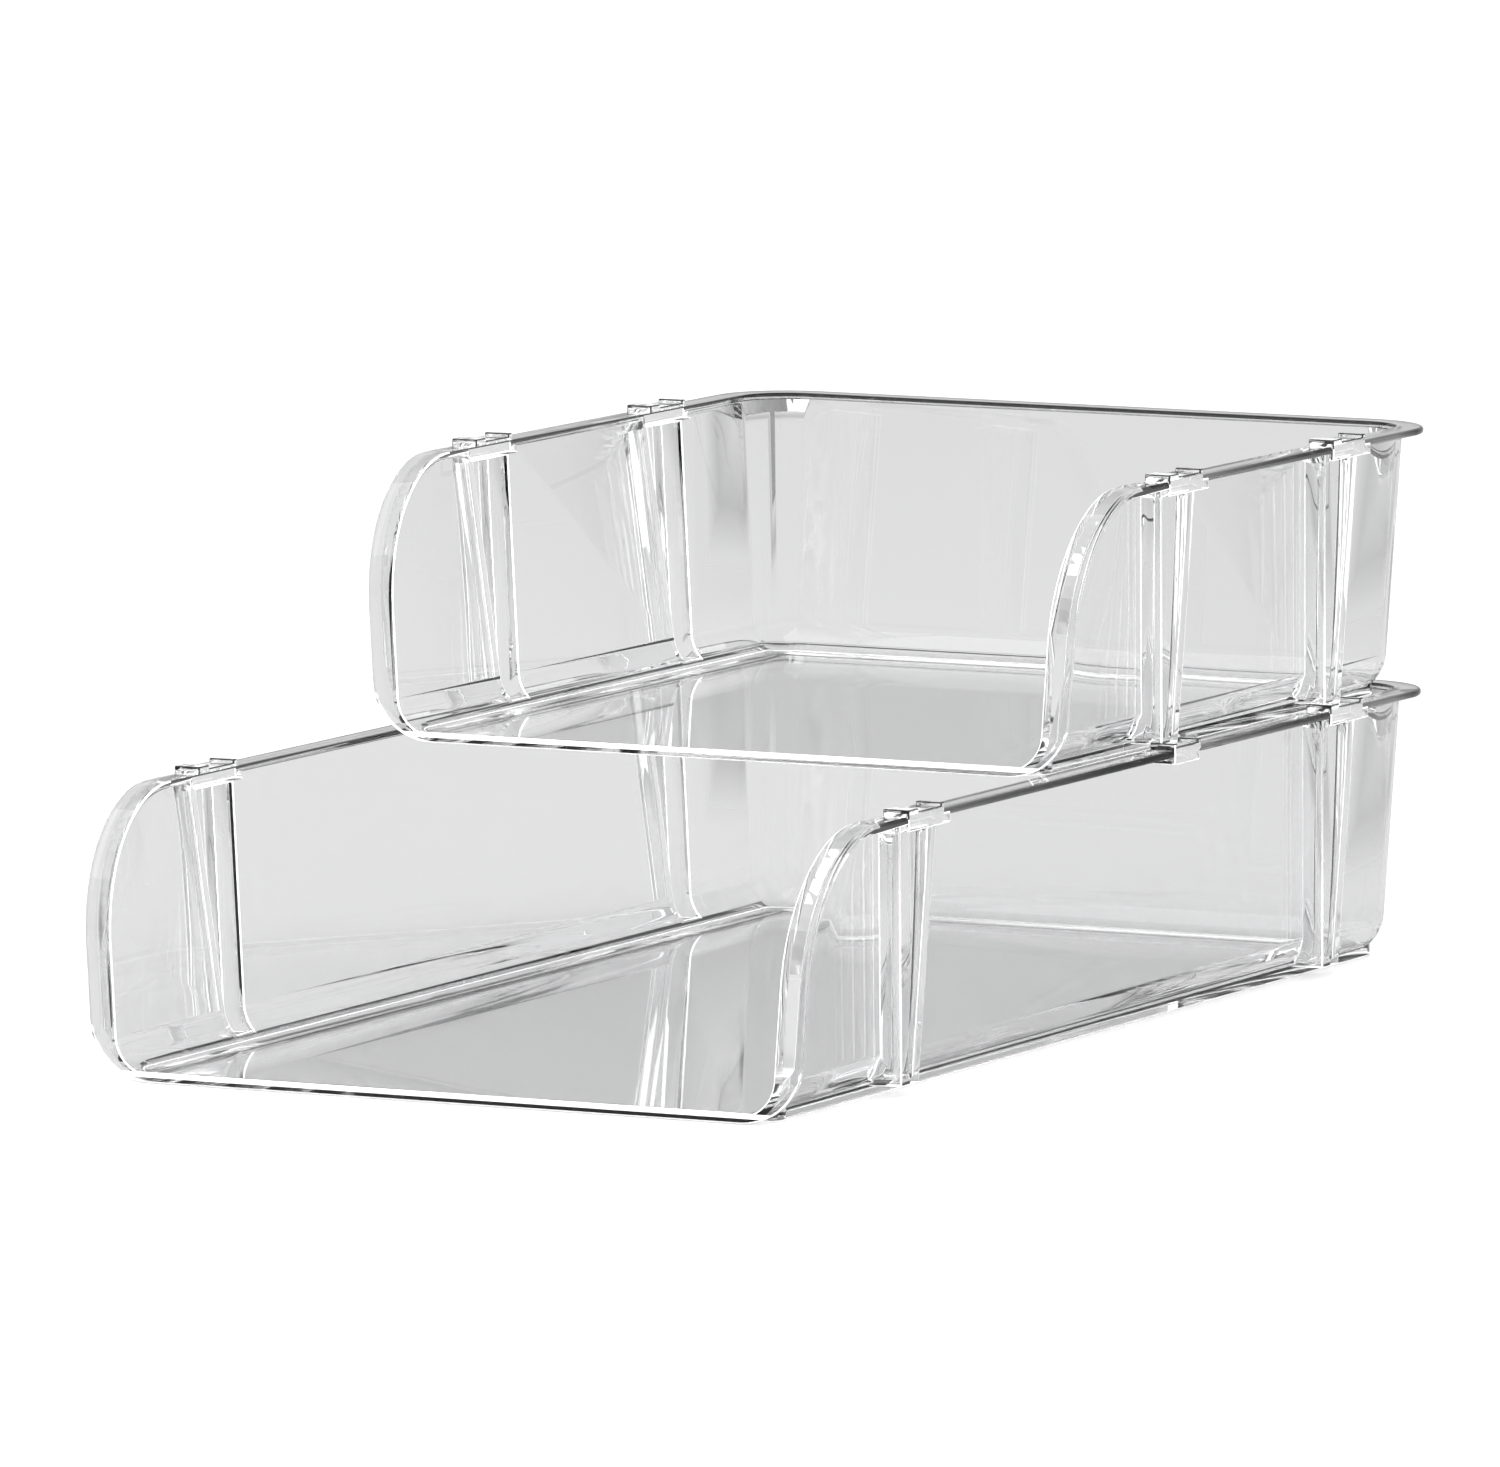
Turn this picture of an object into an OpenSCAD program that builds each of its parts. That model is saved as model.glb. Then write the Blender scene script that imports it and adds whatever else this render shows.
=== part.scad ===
// Two stacking letter trays in clear moulded plastic, one on top of the other.
// The lower tray is the deeper one. Rear ends line up, so the upper front is set back.
// Origin: centre of the stack's plan box, on the surface that the lower tray stands on.
// +X is to the right, +Y towards the back wall, +Z up. Millimetres.

/* [Trays] */
// Width over the rim flanges of both trays
rim_w = 252; // [246:1:260]
// Height of one tray, from its underside to the top of its rim
tray_h = 88; // [80:1:100]
// Front-to-back depth of the lower tray, over its rim
lower_d = 484; // [440:2:520]
// Front-to-back depth of the upper tray, over its rim
upper_d = 290; // [284:2:340]

/* [Walls] */
// Thickness of the floor and the walls
wall_t = 2.2; // [1.8:0.1:2.6]
// Lean of the side and back walls away from upright, in degrees
lean = 3.6; // [3:0.1:4]
// Inner radius between the floor and the walls
fillet_r = 12; // [10:0.5:12]
// Radius of the rim's rear corners, seen from above
corner_r = 26; // [26:0.5:30]

/* [Rim] */
// Width of the rim from the wall's inner face to its outer edge
rim_reach = 9; // [8.5:0.1:10]
// Thickness of the rim flange
rim_t = 2.3; // [2:0.1:2.6]
// Radius where the rim turns down into the open front
front_arc_r = 46; // [40:1:52]
// Radius of the front flange's lower corners, seen from the front
lip_corner_r = 20.5; // [19:0.5:22]
// Height of the bead along the floor's front edge
bead_h = 1; // [0.6:0.1:1.4]

/* [Columns] */
// Distance from a tray's front to the centre of its front columns, at the rim
front_column = 74.5; // [70:0.5:84]
// Distance from a tray's back to the centre of its rear columns, at the rim
rear_column = 86.5; // [80:0.5:90]
// Width of a column's root at the rim
column_top_w = 30; // [28:1:32]
// Width of a column's root at its foot
column_foot_w = 15; // [13:0.5:16]
// How far the foot's centre lies behind the column's centre at the rim
column_rake = 7; // [5:0.5:9]
// How far a column stands out from the wall's inner face
column_depth = 8.6; // [8.2:0.1:8.8]

/* [Stacking] */
// Height of a foot's underside above the tray's own underside
foot_z = 3.4; // [3:0.1:4]
// Height of the pad on the rim that a foot stands on
pad_h = 1.2; // [0.8:0.1:1.6]
// Height of the stops at both ends of a pad, above the pad
stop_h = 1; // [0.6:0.1:1.2]

/* [Hidden] */
$fn = 96;

// How far a cut runs past the face that it opens
past = 1;

lean_run = tan(lean);
half_w = rim_w / 2;
rear_y = lower_d / 2;
// The sections below are drawn from the axis of the rear corner's sweep
axis_x = half_w - corner_r;
axis_y = rear_y - corner_r;
inner_top = corner_r - rim_reach;
outer_top = inner_top + wall_t / cos(lean);

// Base plate that the tray stands on, inset from the rim's edge
plate_inset = 16;
plate_r = corner_r - plate_inset;
plate_front = 4;
plate_h = 4;
bead_w = 2.4;

// A column's root is on the wall's inner face, and its face stands out from it
column_draft = 1.5;
column_skin = 2;
column_root = 14;
channel_floor = foot_z + wall_t;

// A socket thickens the rim under each pad, and both stand out from the rim's edge
block_out = 0.3;
socket_h = 4.6;
socket_w = 30;
small_socket_w = 19;

// Pad on the rim: a seat as wide as a foot, between a front and a rear stop
seat_half = column_foot_w / 2 + 0.8;
front_stop = 7;
rear_stop = 2.4;
small_stop = 1.2;
pad_inset = 0.5;

// Each foot stands on a pad of the rim below
stack_pitch = tray_h + pad_h - foot_z;

// x of the wall's inner face, at height z
function wall_x(z) = axis_x + inner_top - (tray_h - z) * lean_run;

// x, in the section, where an arc of radius r at height cz touches a line that ends at x_top
function arc_x(r, cz, x_top) = x_top - (tray_h - cz) * lean_run - r / cos(lean);

// Section bounded by a flat bottom at z_low, an arc and a leaning side up to x_top
module section(r, z_low, x_top, z_top) {
    cz = z_low + r;
    cx = arc_x(r, cz, x_top);
    side_x = x_top + (z_top - tray_h) * lean_run;
    polygon([
        [0, z_low],
        [cx, z_low],
        [cx + r * cos(lean), cz - r * sin(lean)],
        [side_x, z_top],
        [0, z_top]
    ]);
    intersection() {
        translate([cx, cz])
            circle(r);
        translate([0, z_low])
            square([corner_r, r]);
    }
}

// Section of the space inside a tray
module inner_section() {
    section(fillet_r, wall_t, inner_top, tray_h + past);
}

// Section of a tray's outside, with the rim flange
module outer_section() {
    section(fillet_r + wall_t, 0, outer_top, tray_h);
    translate([0, tray_h - rim_t])
        square([corner_r, rim_t]);
}

// Sweeps a section along both sides and the back, and fills the middle
module tub(front_y, z_low, z_high) {
    side_len = axis_y - front_y;
    for (side = [0, 1])
        mirror([side, 0, 0]) {
            translate([axis_x, axis_y, 0])
                rotate([90, 0, 0])
                    linear_extrude(side_len)
                        children();
            translate([axis_x, axis_y, 0])
                rotate_extrude(angle = 90)
                    children();
        }
    translate([-axis_x, axis_y, 0])
        rotate([90, 0, 90])
            linear_extrude(2 * axis_x)
                children();
    translate([-axis_x, front_y, z_low])
        cube([2 * axis_x, side_len, z_high - z_low]);
}

// Flat plate under the floor, with rounded corners
module base_plate(front_y) {
    half = half_w - plate_inset;
    y0 = front_y + plate_front;
    y1 = rear_y - plate_inset;
    linear_extrude(plate_h)
        union() {
            translate([-half, y0 + plate_r])
                square([2 * half, y1 - y0 - 2 * plate_r]);
            translate([-half + plate_r, y0])
                square([2 * (half - plate_r), y1 - y0]);
            for (sx = [-1, 1])
                for (y = [y0 + plate_r, y1 - plate_r])
                    translate([sx * (half - plate_r), y])
                        circle(plate_r);
        }
}

// Bead along the floor's front edge, as wide as the floor where it meets the fillets
module front_bead(front_y) {
    half = axis_x + fillet_r / 2;
    translate([-half, front_y, wall_t / 2])
        cube([2 * half, bead_w, wall_t / 2 + bead_h]);
}

// Centre of a column along Y, at height z, where top_y is its centre at the rim
function column_y(top_y, z) = top_y + column_rake * (1 - z / tray_h);

// Half the width of a column's root, at height z
function root_half(z) = (column_foot_w + (column_top_w - column_foot_w) * z / tray_h) / 2;

// Plan outline of a column at height z, drawn in by skin on the outside
function column_outline(top_y, z, skin) =
    let (
        y = column_y(top_y, z),
        wide = root_half(z) - skin,
        narrow = wide - column_draft,
        x_wall = wall_x(z),
        x_face = x_wall + column_depth - skin
    )
    [
        [x_wall - column_root, y - wide, z],
        [x_wall, y - wide, z],
        [x_face, y - narrow, z],
        [x_face, y + narrow, z],
        [x_wall, y + wide, z],
        [x_wall - column_root, y + wide, z]
    ];

// Tapered column between two heights, as a closed solid
module column(top_y, z0, z1, skin) {
    sides = 6;
    low = column_outline(top_y, z0, skin);
    high = column_outline(top_y, z1, skin);
    polyhedron(
        points = concat(low, high),
        faces = concat(
            [[for (i = [0 : sides - 1]) i]],
            [[for (i = [0 : sides - 1]) 2 * sides - 1 - i]],
            [for (i = [0 : sides - 1])
                let (j = (i + 1) % sides)
                [i, i + sides, j + sides, j]]
        )
    );
}

// Block on or under the rim, from y0 to y1 and from z0 to z1, out past the rim's edge
module rim_block(y0, y1, z0, z1, inset) {
    x0 = wall_x(tray_h) + inset;
    translate([x0, y0, z0])
        cube([half_w + block_out - x0, y1 - y0, z1 - z0]);
}

// Socket, pad and stops for a foot that stands at y. ahead is the length of the front stop
module rest(y, w, ahead) {
    rim_mid = tray_h - rim_t / 2;
    top = tray_h + pad_h + stop_h;
    rim_block(y - w / 2, y + w / 2, tray_h - socket_h, rim_mid, 0);
    rim_block(y - seat_half - ahead, y + seat_half + rear_stop, rim_mid, tray_h + pad_h, pad_inset);
    rim_block(y - seat_half - ahead, y - seat_half, rim_mid, top, pad_inset);
    rim_block(y + seat_half, y + seat_half + rear_stop, rim_mid, top, pad_inset);
}

// Side view of a tray's front, drawn in by inset, as far back as the arc's centre
module front_outline(front_y, inset) {
    r = front_arc_r - inset;
    arc_z = tray_h - front_arc_r;
    translate([front_y + inset, -past])
        square([r, arc_z + past]);
    intersection() {
        translate([front_y + front_arc_r, arc_z])
            circle(r);
        translate([front_y, arc_z])
            square([front_arc_r, front_arc_r]);
    }
}

// Turns a drawing of Y and Z into a slab across the tray
module across() {
    translate([-half_w - past, 0, 0])
        rotate([90, 0, 90])
            linear_extrude(rim_w + 2 * past)
                children();
}

// Everything above and in front of the front arc
module front_clearance(front_y) {
    arc_z = tray_h - front_arc_r;
    across()
        difference() {
            translate([front_y - past, arc_z])
                square([front_arc_r + past, front_arc_r + past]);
            front_outline(front_y, 0);
        }
}

// Flange that turns down the front edge of both sides and runs out along the floor
module front_flange(front_y) {
    intersection() {
        across()
            difference() {
                front_outline(front_y, 0);
                front_outline(front_y, rim_t);
            }
        for (side = [0, 1])
            mirror([side, 0, 0])
                translate([axis_x, front_y + front_arc_r, 0])
                    rotate([90, 0, 0])
                        linear_extrude(front_arc_r)
                            difference() {
                                section(lip_corner_r, 0, corner_r, tray_h);
                                inner_section();
                            }
    }
}

// One tray. small_rests lists where feet stand on the rim away from this tray's own columns
module tray(depth, small_rests) {
    front_y = rear_y - depth;
    columns = [front_y + front_column, rear_y - rear_column];
    difference() {
        union() {
            difference() {
                tub(front_y, 0, tray_h)
                    outer_section();
                front_clearance(front_y);
            }
            base_plate(front_y);
            for (side = [0, 1])
                mirror([side, 0, 0]) {
                    for (y = columns) {
                        column(y, foot_z, tray_h - rim_t / 2, 0);
                        rest(column_y(y, 0), socket_w, front_stop);
                    }
                    for (y = small_rests)
                        rest(y, small_socket_w, small_stop);
                }
        }
        difference() {
            tub(front_y - past, wall_t, tray_h + past)
                inner_section();
            front_bead(front_y);
        }
        for (side = [0, 1])
            mirror([side, 0, 0])
                for (y = columns)
                    column(y, channel_floor, tray_h - socket_h, column_skin);
    }
    front_flange(front_y);
}

module lower_tray() {
    upper_front = rear_y - upper_d;
    color([0.86, 0.88, 0.89, 0.45])
        tray(lower_d, [column_y(upper_front + front_column, 0)]);
}

module upper_tray() {
    color([0.86, 0.88, 0.89, 0.45])
        translate([0, 0, stack_pitch])
            tray(upper_d, []);
}

lower_tray();
upper_tray();
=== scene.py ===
"""Two stacking letter trays in clear moulded plastic, on a pale floor in soft studio light.
Metres, +Z up. The open fronts face -Y."""
import math

import bmesh
import bpy
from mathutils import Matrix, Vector


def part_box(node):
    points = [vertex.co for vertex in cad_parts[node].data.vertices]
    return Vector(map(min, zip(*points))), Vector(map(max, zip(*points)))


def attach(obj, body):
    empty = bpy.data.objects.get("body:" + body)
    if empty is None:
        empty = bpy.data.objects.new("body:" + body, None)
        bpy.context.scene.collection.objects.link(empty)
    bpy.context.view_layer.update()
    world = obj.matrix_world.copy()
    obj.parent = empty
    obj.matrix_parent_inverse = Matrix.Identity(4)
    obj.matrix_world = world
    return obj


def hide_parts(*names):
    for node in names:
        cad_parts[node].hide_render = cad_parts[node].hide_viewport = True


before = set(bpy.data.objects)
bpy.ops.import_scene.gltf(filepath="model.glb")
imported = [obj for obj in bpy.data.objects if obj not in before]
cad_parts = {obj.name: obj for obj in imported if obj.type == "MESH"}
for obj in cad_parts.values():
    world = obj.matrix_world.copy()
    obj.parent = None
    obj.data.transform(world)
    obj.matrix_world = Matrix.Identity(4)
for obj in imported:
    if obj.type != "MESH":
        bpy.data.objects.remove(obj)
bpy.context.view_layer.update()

MM = 0.001

# The photographed view: the line of sight, the point on it at the object, and how far that is
AZIMUTH = math.radians(25.4)
ELEVATION = math.radians(6.55)
ROLL = 0.005
TARGET = Vector((-0.0303, 0.0404, 0.0835))
DISTANCE = 5.574
FAR_CLIP = 50.0
# Focal length and sensor width, in millimetres
LENS = 417.2
SENSOR = 36.0

# One tray, as moulded
TRAY_HEIGHT = 88 * MM
RIM_THICK = 2.3 * MM
CORNER = 26 * MM
FRONT_ARC = 46 * MM
LIP_CORNER = 20.5 * MM
LEAN = math.tan(math.radians(3.6))
# How far the rests for feet stand out past the rim's edge
BLOCK_OUT = 0.3 * MM
# How near a point is to an edge that it lies on
ON_EDGE = 0.04 * MM
ON_FLANGE_EDGE = 4 * ON_EDGE

# Edges sharper than SHARP are rounded, and faces that meet flatter than FLAT are joined
SHARP = math.radians(25)
FLAT = math.radians(0.3)
# Points nearer than WELD are merged, and shorter edges than SLIVER are closed up
WELD = 0.002 * MM
SLIVER = 0.2 * MM
# Radius and number of facets of a full-round rim, and of every other outside corner
RIM_ROUND = 1.0 * MM
RIM_FACETS = 5
EDGE_ROUND = 0.4 * MM
EDGE_FACETS = 3
ARC_PROFILE = 0.5
# The front flange is full-round from this height above the underside
LIP_ROUND_ABOVE = 14 * MM
# The largest face at a corner sets how the corner shades
AREA_WEIGHT = 100

# Rounded corners lower than this are matte, and higher ones get painted shade, a near-black tint.
# From the rim's top
PAINTED_SHADE_ABOVE = -0.6 * MM
# Matte band on the cut front of the floor, and lines of painted shade on the fillet. From the
# underside
FRONT_BAND = (1.6 * MM, 3.2 * MM)
FILLET_SHADE_LINES = [(2.15 * MM, 2.5 * MM), (12.5 * MM, 13.5 * MM)]
# Any facet of the fillet is higher than this
FLAT_STRIP = 0.01 * MM

# Surface of the plastic: waves per metre along X, Y and Z, their detail, and how high they are
WEAR_WAVES = (60, 60, 60)
WEAR_DETAIL = 4.0
MOULD_WAVES = (22, 22, 22)
MOULD_WAVE_DETAIL = 2.0
MOULD_WAVE_HIGH = 0.005 * MM
DRAW_LINES = (6, 6, 160)
DRAW_LINE_DETAIL = 3.0
DRAW_LINE_HIGH = 0.004 * MM
# Highest roughness of the polish, and what a matte edge adds to it
WEAR_ROUGH = 0.03
EDGE_ROUGH = 0.3
# How much light a matte edge lets through
EDGE_CLEAR = 0.4
PLASTIC_IOR = 1.5
CLEAR_TINT = (0.95, 0.952, 0.955, 1)
# Painted shade: a near-black tint on the rim's outer edge, two fillet lines and rounded corners
# near the rim's top
PAINTED_SHADE_TINT = (0.001, 0.001, 0.001, 1)

# Pale tones of the floor: seen directly, and seen in or through the plastic
FLOOR_DIRECT = 0.30
FLOOR_INDIRECT = 0.19
FLOOR_ROUGH = 0.9
FLOOR_HALF = 7.0
# Thin film of air that a hard base has under it
AIR_GAP = 0.2 * MM

# The room's even light on the floor, which is also the white behind the object
ROOM_EVEN = 4.0
# The room by height above the horizon, as seen in or through the plastic
ROOM_STOPS = [(0.0, 0.76), (0.1, 0.52), (0.35, 0.75), (1.0, 0.3)]

# Light runs a long way inside the clear walls before it comes out of an edge
CLEAR_BOUNCES = 40
GLOSSY_BOUNCES = 12


def add_camera():
    """A long lens on the photographed line of sight, with a very small roll."""
    back = Vector((math.sin(AZIMUTH) * math.cos(ELEVATION),
                   -math.cos(AZIMUTH) * math.cos(ELEVATION),
                   math.sin(ELEVATION)))
    level = Vector((math.cos(AZIMUTH), math.sin(AZIMUTH), 0))
    right = level * math.cos(ROLL) + back.cross(level) * math.sin(ROLL)
    up = back.cross(right)
    data = bpy.data.cameras.new("camera")
    data.lens = LENS
    data.sensor_width = SENSOR
    data.clip_end = FAR_CLIP
    camera = bpy.data.objects.new("camera", data)
    bpy.context.scene.collection.objects.link(camera)
    spot = TARGET + back * DISTANCE
    pose = camera.matrix_world.copy()
    for row in range(3):
        pose[row] = (right[row], up[row], back[row], spot[row])
    camera.matrix_world = pose
    bpy.context.scene.camera = camera


class Outline:
    """The outer edge of one tray's rim and front flange."""

    def __init__(self, low, high):
        self.half = high.x - BLOCK_OUT
        self.rear = high.y
        self.front = low.y
        self.base = low.z
        self.top = low.z + TRAY_HEIGHT

    def reach(self, p):
        """How far out a point is. The rim's edge is at CORNER, round its corners too."""
        x = abs(p.x) - (self.half - CORNER)
        y = p.y - (self.rear - CORNER)
        return math.hypot(x, y) if x > 0 and y > 0 else max(x, y)

    def on_rim(self, p):
        """On the upper or lower edge of the rim, along the sides and the back."""
        levels = (self.top, self.top - RIM_THICK)
        on_level = min(abs(p.z - level) for level in levels) < ON_EDGE
        return on_level and abs(self.reach(p) - CORNER) < ON_EDGE

    def on_flange(self, p):
        """On the front or rear edge of the front flange, where that is full-round."""
        if p.y > self.front + FRONT_ARC + ON_EDGE or p.z < self.base + LIP_ROUND_ABOVE:
            return False
        edge = self.half - (self.top - p.z) * LEAN
        lift = p.z - self.base
        if lift < LIP_CORNER:
            centre = self.half - (TRAY_HEIGHT - LIP_CORNER) * LEAN - LIP_CORNER
            edge = centre + math.sqrt(LIP_CORNER ** 2 - (LIP_CORNER - lift) ** 2)
        return abs(abs(p.x) - edge) < ON_FLANGE_EDGE

    def holds(self, edge):
        """An edge that is full-round."""
        ends = [v.co for v in edge.verts]
        return all(self.on_rim(p) for p in ends) or all(self.on_flange(p) for p in ends)

    def height(self, face):
        """Height of a face above the rim's top. The front arcs count as far below."""
        p = face.calc_center_median()
        return p.z - self.top if p.y > self.front + FRONT_ARC else -TRAY_HEIGHT

    def on_rim_shade_face(self, face):
        """On the rounded outer edge of the rim, behind the front arcs, where painted shade goes.
        """
        p = face.calc_center_median()
        if p.z < self.top - RIM_THICK - ON_EDGE or p.y < self.front + FRONT_ARC:
            return False
        return CORNER - RIM_ROUND < self.reach(p) < CORNER + ON_EDGE

    def on_fillet_shade_line(self, face):
        """On the inner fillet, right beside the wall or right beside the floor, where lines of
        painted shade go.
        """
        lifts = [v.co.z - self.base for v in face.verts]
        low, high = min(lifts), max(lifts)
        if face.normal.z < 0 or high - low < FLAT_STRIP:
            return False
        return any(a < low and high < b for a, b in FILLET_SHADE_LINES)

    def on_front(self, face):
        """In the matte band along the cut front of the floor."""
        low, high = (self.base + lift for lift in FRONT_BAND)
        return all(v.co.y < self.front + ON_EDGE and low - ON_EDGE < v.co.z < high + ON_EDGE
                   for v in face.verts)


def sharp_edges(bm):
    """Outside corners only, since two inside corners can lie very close together."""
    return [e for e in bm.edges if e.is_convex and e.calc_face_angle() > SHARP]


def round_edges(bm, edges, radius, facets):
    """Rounds edges and returns the faces that this makes."""
    done = bmesh.ops.bevel(bm, geom=edges, offset=radius, offset_type="OFFSET", segments=facets,
                           profile=ARC_PROFILE, affect="EDGES", clamp_overlap=False)
    return done["faces"]


def cut_front_band(bm, outline):
    """Cuts the front face along both edges of its matte band."""
    for lift in FRONT_BAND:
        front = [f for f in bm.faces if all(v.co.y < outline.front + ON_EDGE for v in f.verts)]
        parts = front + list({e for f in front for e in f.edges})
        parts += list({v for f in front for v in f.verts})
        bmesh.ops.bisect_plane(bm, geom=parts, plane_co=(0, 0, outline.base + lift),
                               plane_no=(0, 0, 1))


def moulded_mesh(source, name, outline):
    """The CAD solid with its flat faces joined up, full-round rims and softened edges."""
    mesh = bpy.data.meshes.new(name)
    bm = bmesh.new()
    bm.from_mesh(source.data)
    matte = bm.faces.layers.float.new("matte")
    painted_shade = bm.faces.layers.float.new("painted_shade")
    bmesh.ops.remove_doubles(bm, verts=bm.verts, dist=WELD)
    bmesh.ops.dissolve_limit(bm, angle_limit=FLAT, verts=bm.verts, edges=bm.edges)
    bmesh.ops.dissolve_degenerate(bm, dist=SLIVER, edges=bm.edges)
    rim = [e for e in sharp_edges(bm) if outline.holds(e)]
    round_edges(bm, rim, RIM_ROUND, RIM_FACETS)
    for face in bm.faces:
        # Painted shade: near-black tint on the rim's outer edge and on two lines of the fillet
        face[painted_shade] = outline.on_rim_shade_face(face) or outline.on_fillet_shade_line(face)
    for face in round_edges(bm, sharp_edges(bm), EDGE_ROUND, EDGE_FACETS):
        # Painted shade on rounded corners near the rim's top, and matte on all other rounded
        # corners
        face[painted_shade] = outline.height(face) >= PAINTED_SHADE_ABOVE
        face[matte] = 1.0 - face[painted_shade]
    cut_front_band(bm, outline)
    for face in bm.faces:
        face.smooth = True
        if outline.on_front(face):
            face[matte] = 1.0
    bm.to_mesh(mesh)
    bm.free()
    return mesh


def add_noise(tree, place, stretch, detail):
    """Noise with so many waves per metre along X, Y and Z."""
    mapping = tree.nodes.new("ShaderNodeMapping")
    mapping.inputs["Scale"].default_value = stretch
    tree.links.new(place, mapping.inputs["Vector"])
    noise = tree.nodes.new("ShaderNodeTexNoise")
    noise.inputs["Scale"].default_value = 1.0
    noise.inputs["Detail"].default_value = detail
    tree.links.new(mapping.outputs["Vector"], noise.inputs["Vector"])
    return noise.outputs["Fac"]


def add_layer(tree, name):
    """A face layer of the mesh, which is 0 or 1 on each face."""
    node = tree.nodes.new("ShaderNodeAttribute")
    node.attribute_name = name
    return node.outputs["Fac"]


def add_range(tree, factor, low, high):
    """Turns a factor of 0 to 1 into low to high."""
    node = tree.nodes.new("ShaderNodeMapRange")
    tree.links.new(factor, node.inputs["Value"])
    node.inputs["To Min"].default_value = low
    node.inputs["To Max"].default_value = high
    return node.outputs["Result"]


def add_sum(tree, first, second):
    """The sum of two factors, and at most 1."""
    node = tree.nodes.new("ShaderNodeMath")
    node.use_clamp = True
    tree.links.new(first, node.inputs[0])
    tree.links.new(second, node.inputs[1])
    return node.outputs[0]


def add_bump(tree, height, distance, below=None):
    """A bump from a height of 0 to 1, on top of the bump below it."""
    bump = tree.nodes.new("ShaderNodeBump")
    bump.inputs["Distance"].default_value = distance
    tree.links.new(height, bump.inputs["Height"])
    if below:
        tree.links.new(below, bump.inputs["Normal"])
    return bump.outputs["Normal"]


def grey(level):
    return (level, level, level, 1)


def add_mix(tree, factor, colours):
    """The first colour where the factor is 0, the second where it is 1. Either may be a socket."""
    mix = tree.nodes.new("ShaderNodeMix")
    mix.data_type = "RGBA"
    tree.links.new(factor, mix.inputs["Factor"])
    sockets = [s for s in mix.inputs if s.type == "RGBA"]
    for socket, colour in zip(sockets, colours):
        if isinstance(colour, tuple):
            socket.default_value = colour
        else:
            tree.links.new(colour, socket)
    return [s for s in mix.outputs if s.type == "RGBA"][0]


def clear_plastic():
    """Polished and water-clear, with faint waves from the mould, matte edges, and painted shade as
    near-black edges and lines.
    """
    m = bpy.data.materials.new("clear_plastic")
    m.use_nodes = True
    tree = m.node_tree
    shader = tree.nodes["Principled BSDF"]
    shader.inputs["IOR"].default_value = PLASTIC_IOR
    # Painted shade: the marked faces get a near-black tint in place of the clear tint
    tint = add_mix(tree, add_layer(tree, "painted_shade"), (CLEAR_TINT, PAINTED_SHADE_TINT))
    tree.links.new(tint, shader.inputs["Base Color"])

    place = tree.nodes.new("ShaderNodeTexCoord").outputs["Object"]
    matte = add_layer(tree, "matte")
    polish = add_range(tree, add_noise(tree, place, WEAR_WAVES, WEAR_DETAIL), 0.0, WEAR_ROUGH)
    rough = add_sum(tree, polish, add_range(tree, matte, 0.0, EDGE_ROUGH))
    tree.links.new(rough, shader.inputs["Roughness"])
    clear = add_range(tree, matte, 1.0, EDGE_CLEAR)
    tree.links.new(clear, shader.inputs["Transmission Weight"])

    swell = add_noise(tree, place, MOULD_WAVES, MOULD_WAVE_DETAIL)
    lines = add_noise(tree, place, DRAW_LINES, DRAW_LINE_DETAIL)
    waves = add_bump(tree, swell, MOULD_WAVE_HIGH)
    drawn = add_bump(tree, lines, DRAW_LINE_HIGH, waves)
    tree.links.new(drawn, shader.inputs["Normal"])
    return m


def add_tray(name, material):
    """The visible moulding of one tray, in place of the CAD node of that name."""
    piece_name = name + "_moulding"
    low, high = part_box(name)
    mesh = moulded_mesh(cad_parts[name], piece_name, Outline(low, high))
    piece = bpy.data.objects.new(piece_name, mesh)
    bpy.context.scene.collection.objects.link(piece)
    mesh.materials.clear()
    mesh.materials.append(material)
    shade = piece.modifiers.new("flat faces keep their shade", "WEIGHTED_NORMAL")
    shade.mode = "FACE_AREA"
    shade.weight = AREA_WEIGHT
    shade.keep_sharp = False
    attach(piece, name)
    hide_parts(name)


def add_view_mix(tree, indirect, direct):
    """A colour that is direct to the camera and to light on the floor, and indirect otherwise."""
    path = tree.nodes.new("ShaderNodeLightPath")
    seen = add_sum(tree, path.outputs["Is Camera Ray"], path.outputs["Diffuse Depth"])
    return add_mix(tree, seen, (indirect, direct))


def add_floor():
    mesh = bpy.data.meshes.new("floor")
    h = FLOOR_HALF
    mesh.from_pydata([(-h, -h, 0), (h, -h, 0), (h, h, 0), (-h, h, 0)], [], [(0, 1, 2, 3)])
    floor = bpy.data.objects.new("floor", mesh)
    floor.location.z = -AIR_GAP
    bpy.context.scene.collection.objects.link(floor)
    m = bpy.data.materials.new("floor")
    m.use_nodes = True
    shader = m.node_tree.nodes["Principled BSDF"]
    colour = add_view_mix(m.node_tree, grey(FLOOR_INDIRECT), grey(FLOOR_DIRECT))
    m.node_tree.links.new(colour, shader.inputs["Base Color"])
    shader.inputs["Roughness"].default_value = FLOOR_ROUGH
    shader.inputs["Specular IOR Level"].default_value = 0.0
    mesh.materials.append(m)


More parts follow.
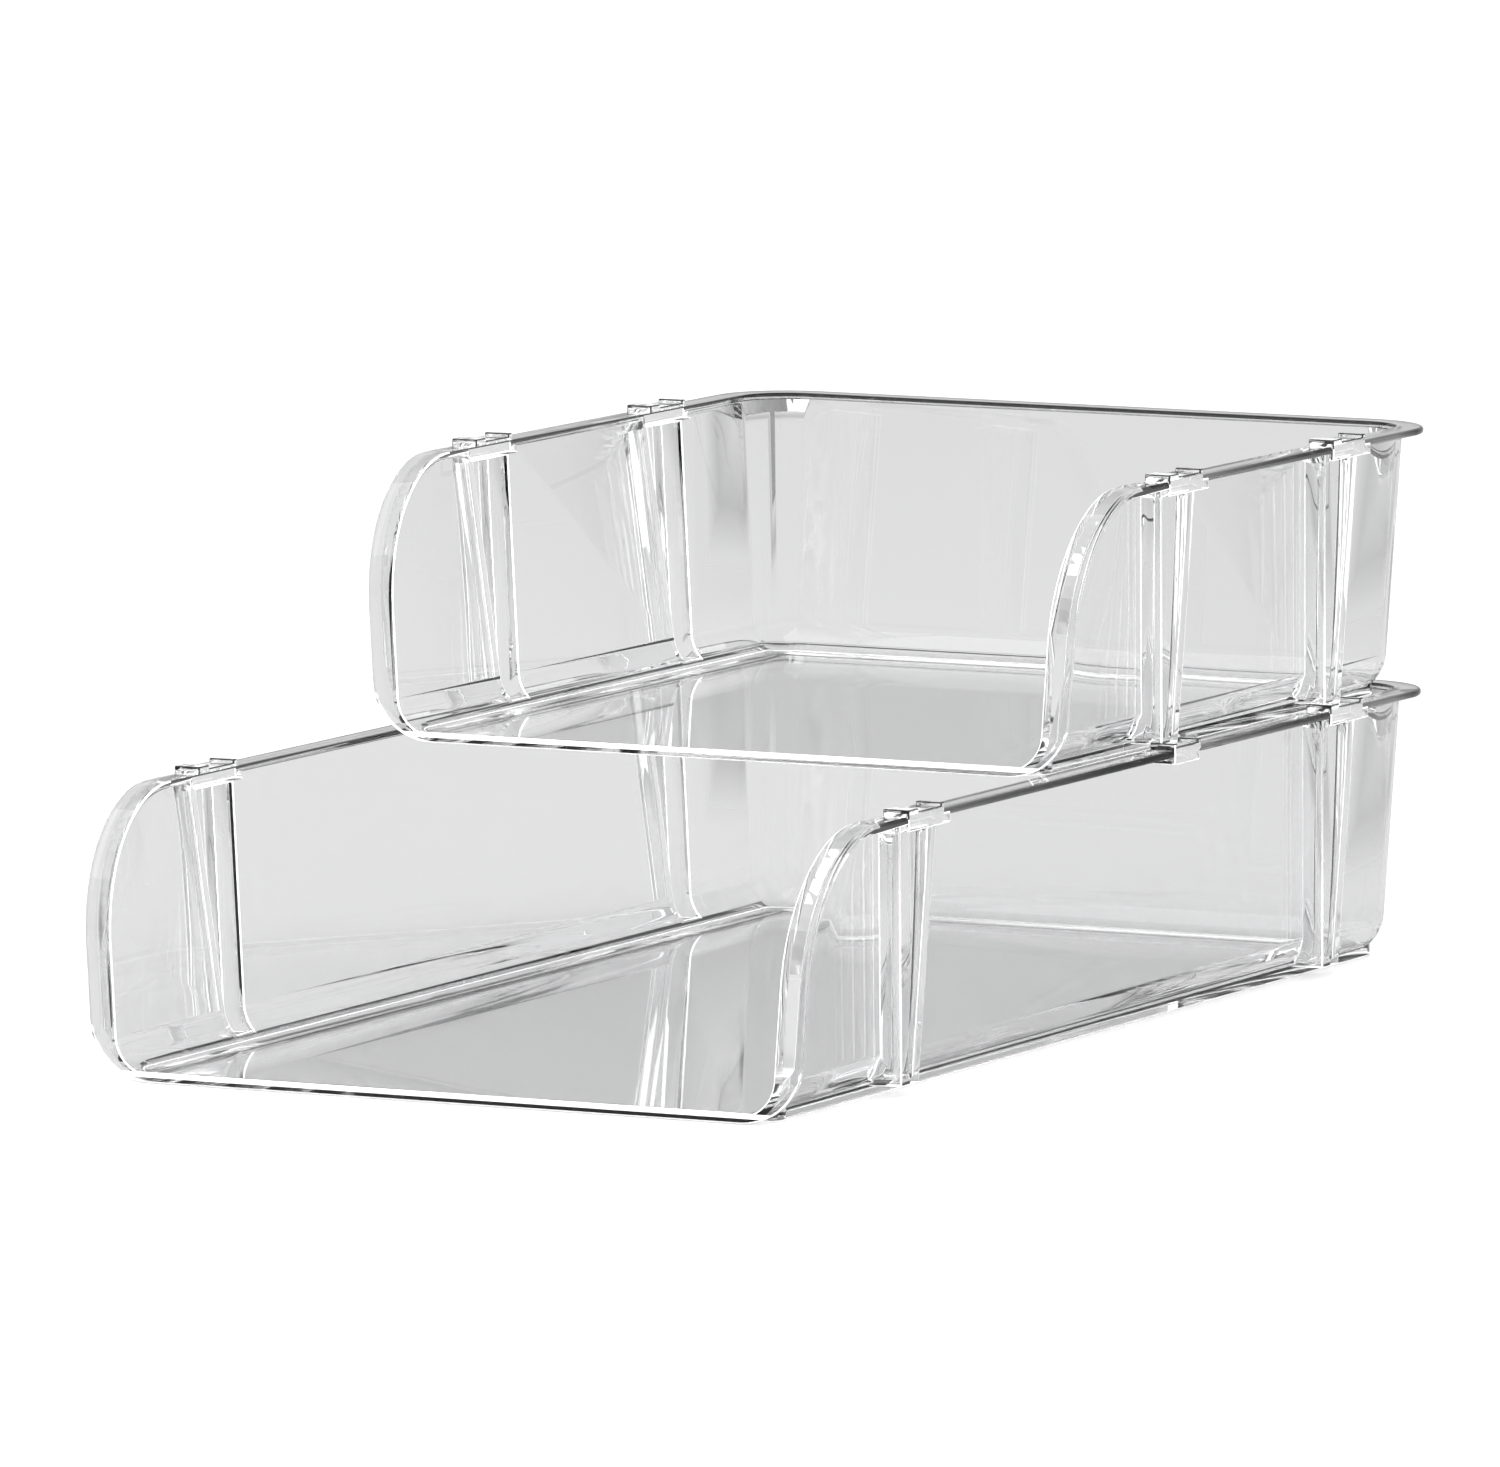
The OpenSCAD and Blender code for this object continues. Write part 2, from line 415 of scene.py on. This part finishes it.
def set_world():
    """An even white room, which is seen in and through the plastic as a ramp of greys."""
    world = bpy.data.worlds.new("world")
    world.use_nodes = True
    world.cycles.sampling_method = "NONE"
    bpy.context.scene.world = world
    tree = world.node_tree
    coords = tree.nodes.new("ShaderNodeTexCoord")
    split = tree.nodes.new("ShaderNodeSeparateXYZ")
    tree.links.new(coords.outputs["Generated"], split.inputs[0])
    ramp = tree.nodes.new("ShaderNodeValToRGB")
    tree.links.new(split.outputs["Z"], ramp.inputs["Fac"])
    stops = ramp.color_ramp.elements
    for place, level in ROOM_STOPS[2:]:
        stops.new(place)
    for stop, (place, level) in zip(stops, ROOM_STOPS):
        stop.position = place
        stop.color = grey(level)
    colour = add_view_mix(tree, ramp.outputs["Color"], grey(ROOM_EVEN))
    tree.links.new(colour, tree.nodes["Background"].inputs["Color"])


def add_softbox(name, spot, aim, width, height, radiance):
    """A rectangular softbox at spot that faces aim. Radiance is its brightness, 1 is white."""
    data = bpy.data.lights.new(name, "AREA")
    data.shape = "RECTANGLE"
    data.size = width
    data.size_y = height
    data.energy = radiance * math.pi * width * height
    light = bpy.data.objects.new(name, data)
    bpy.context.scene.collection.objects.link(light)
    light.location = spot
    light.rotation_euler = (Vector(aim) - Vector(spot)).to_track_quat("-Z", "Y").to_euler()


def add_lights():
    add_softbox("overhead", spot=(-0.45, -0.5, 1.4), aim=(0, 0, 0.1),
                width=1.8, height=1.8, radiance=1.1)
    add_softbox("left side", spot=(-1.3, 0.65, 0.5), aim=(0, 0.1, 0.1),
                width=0.8, height=0.6, radiance=1.2)


def set_light_paths(scene):
    """Long paths in the plastic. Light that has touched the floor still passes it unblurred."""
    scene.cycles.max_bounces = CLEAR_BOUNCES
    scene.cycles.transmission_bounces = CLEAR_BOUNCES
    scene.cycles.glossy_bounces = GLOSSY_BOUNCES
    scene.cycles.blur_glossy = 0.0


add_camera()
plastic = clear_plastic()
for tray in ("lower_tray", "upper_tray"):
    add_tray(tray, plastic)
add_floor()
set_world()
add_lights()
set_light_paths(bpy.context.scene)
bpy.context.scene.view_settings.view_transform = "Standard"
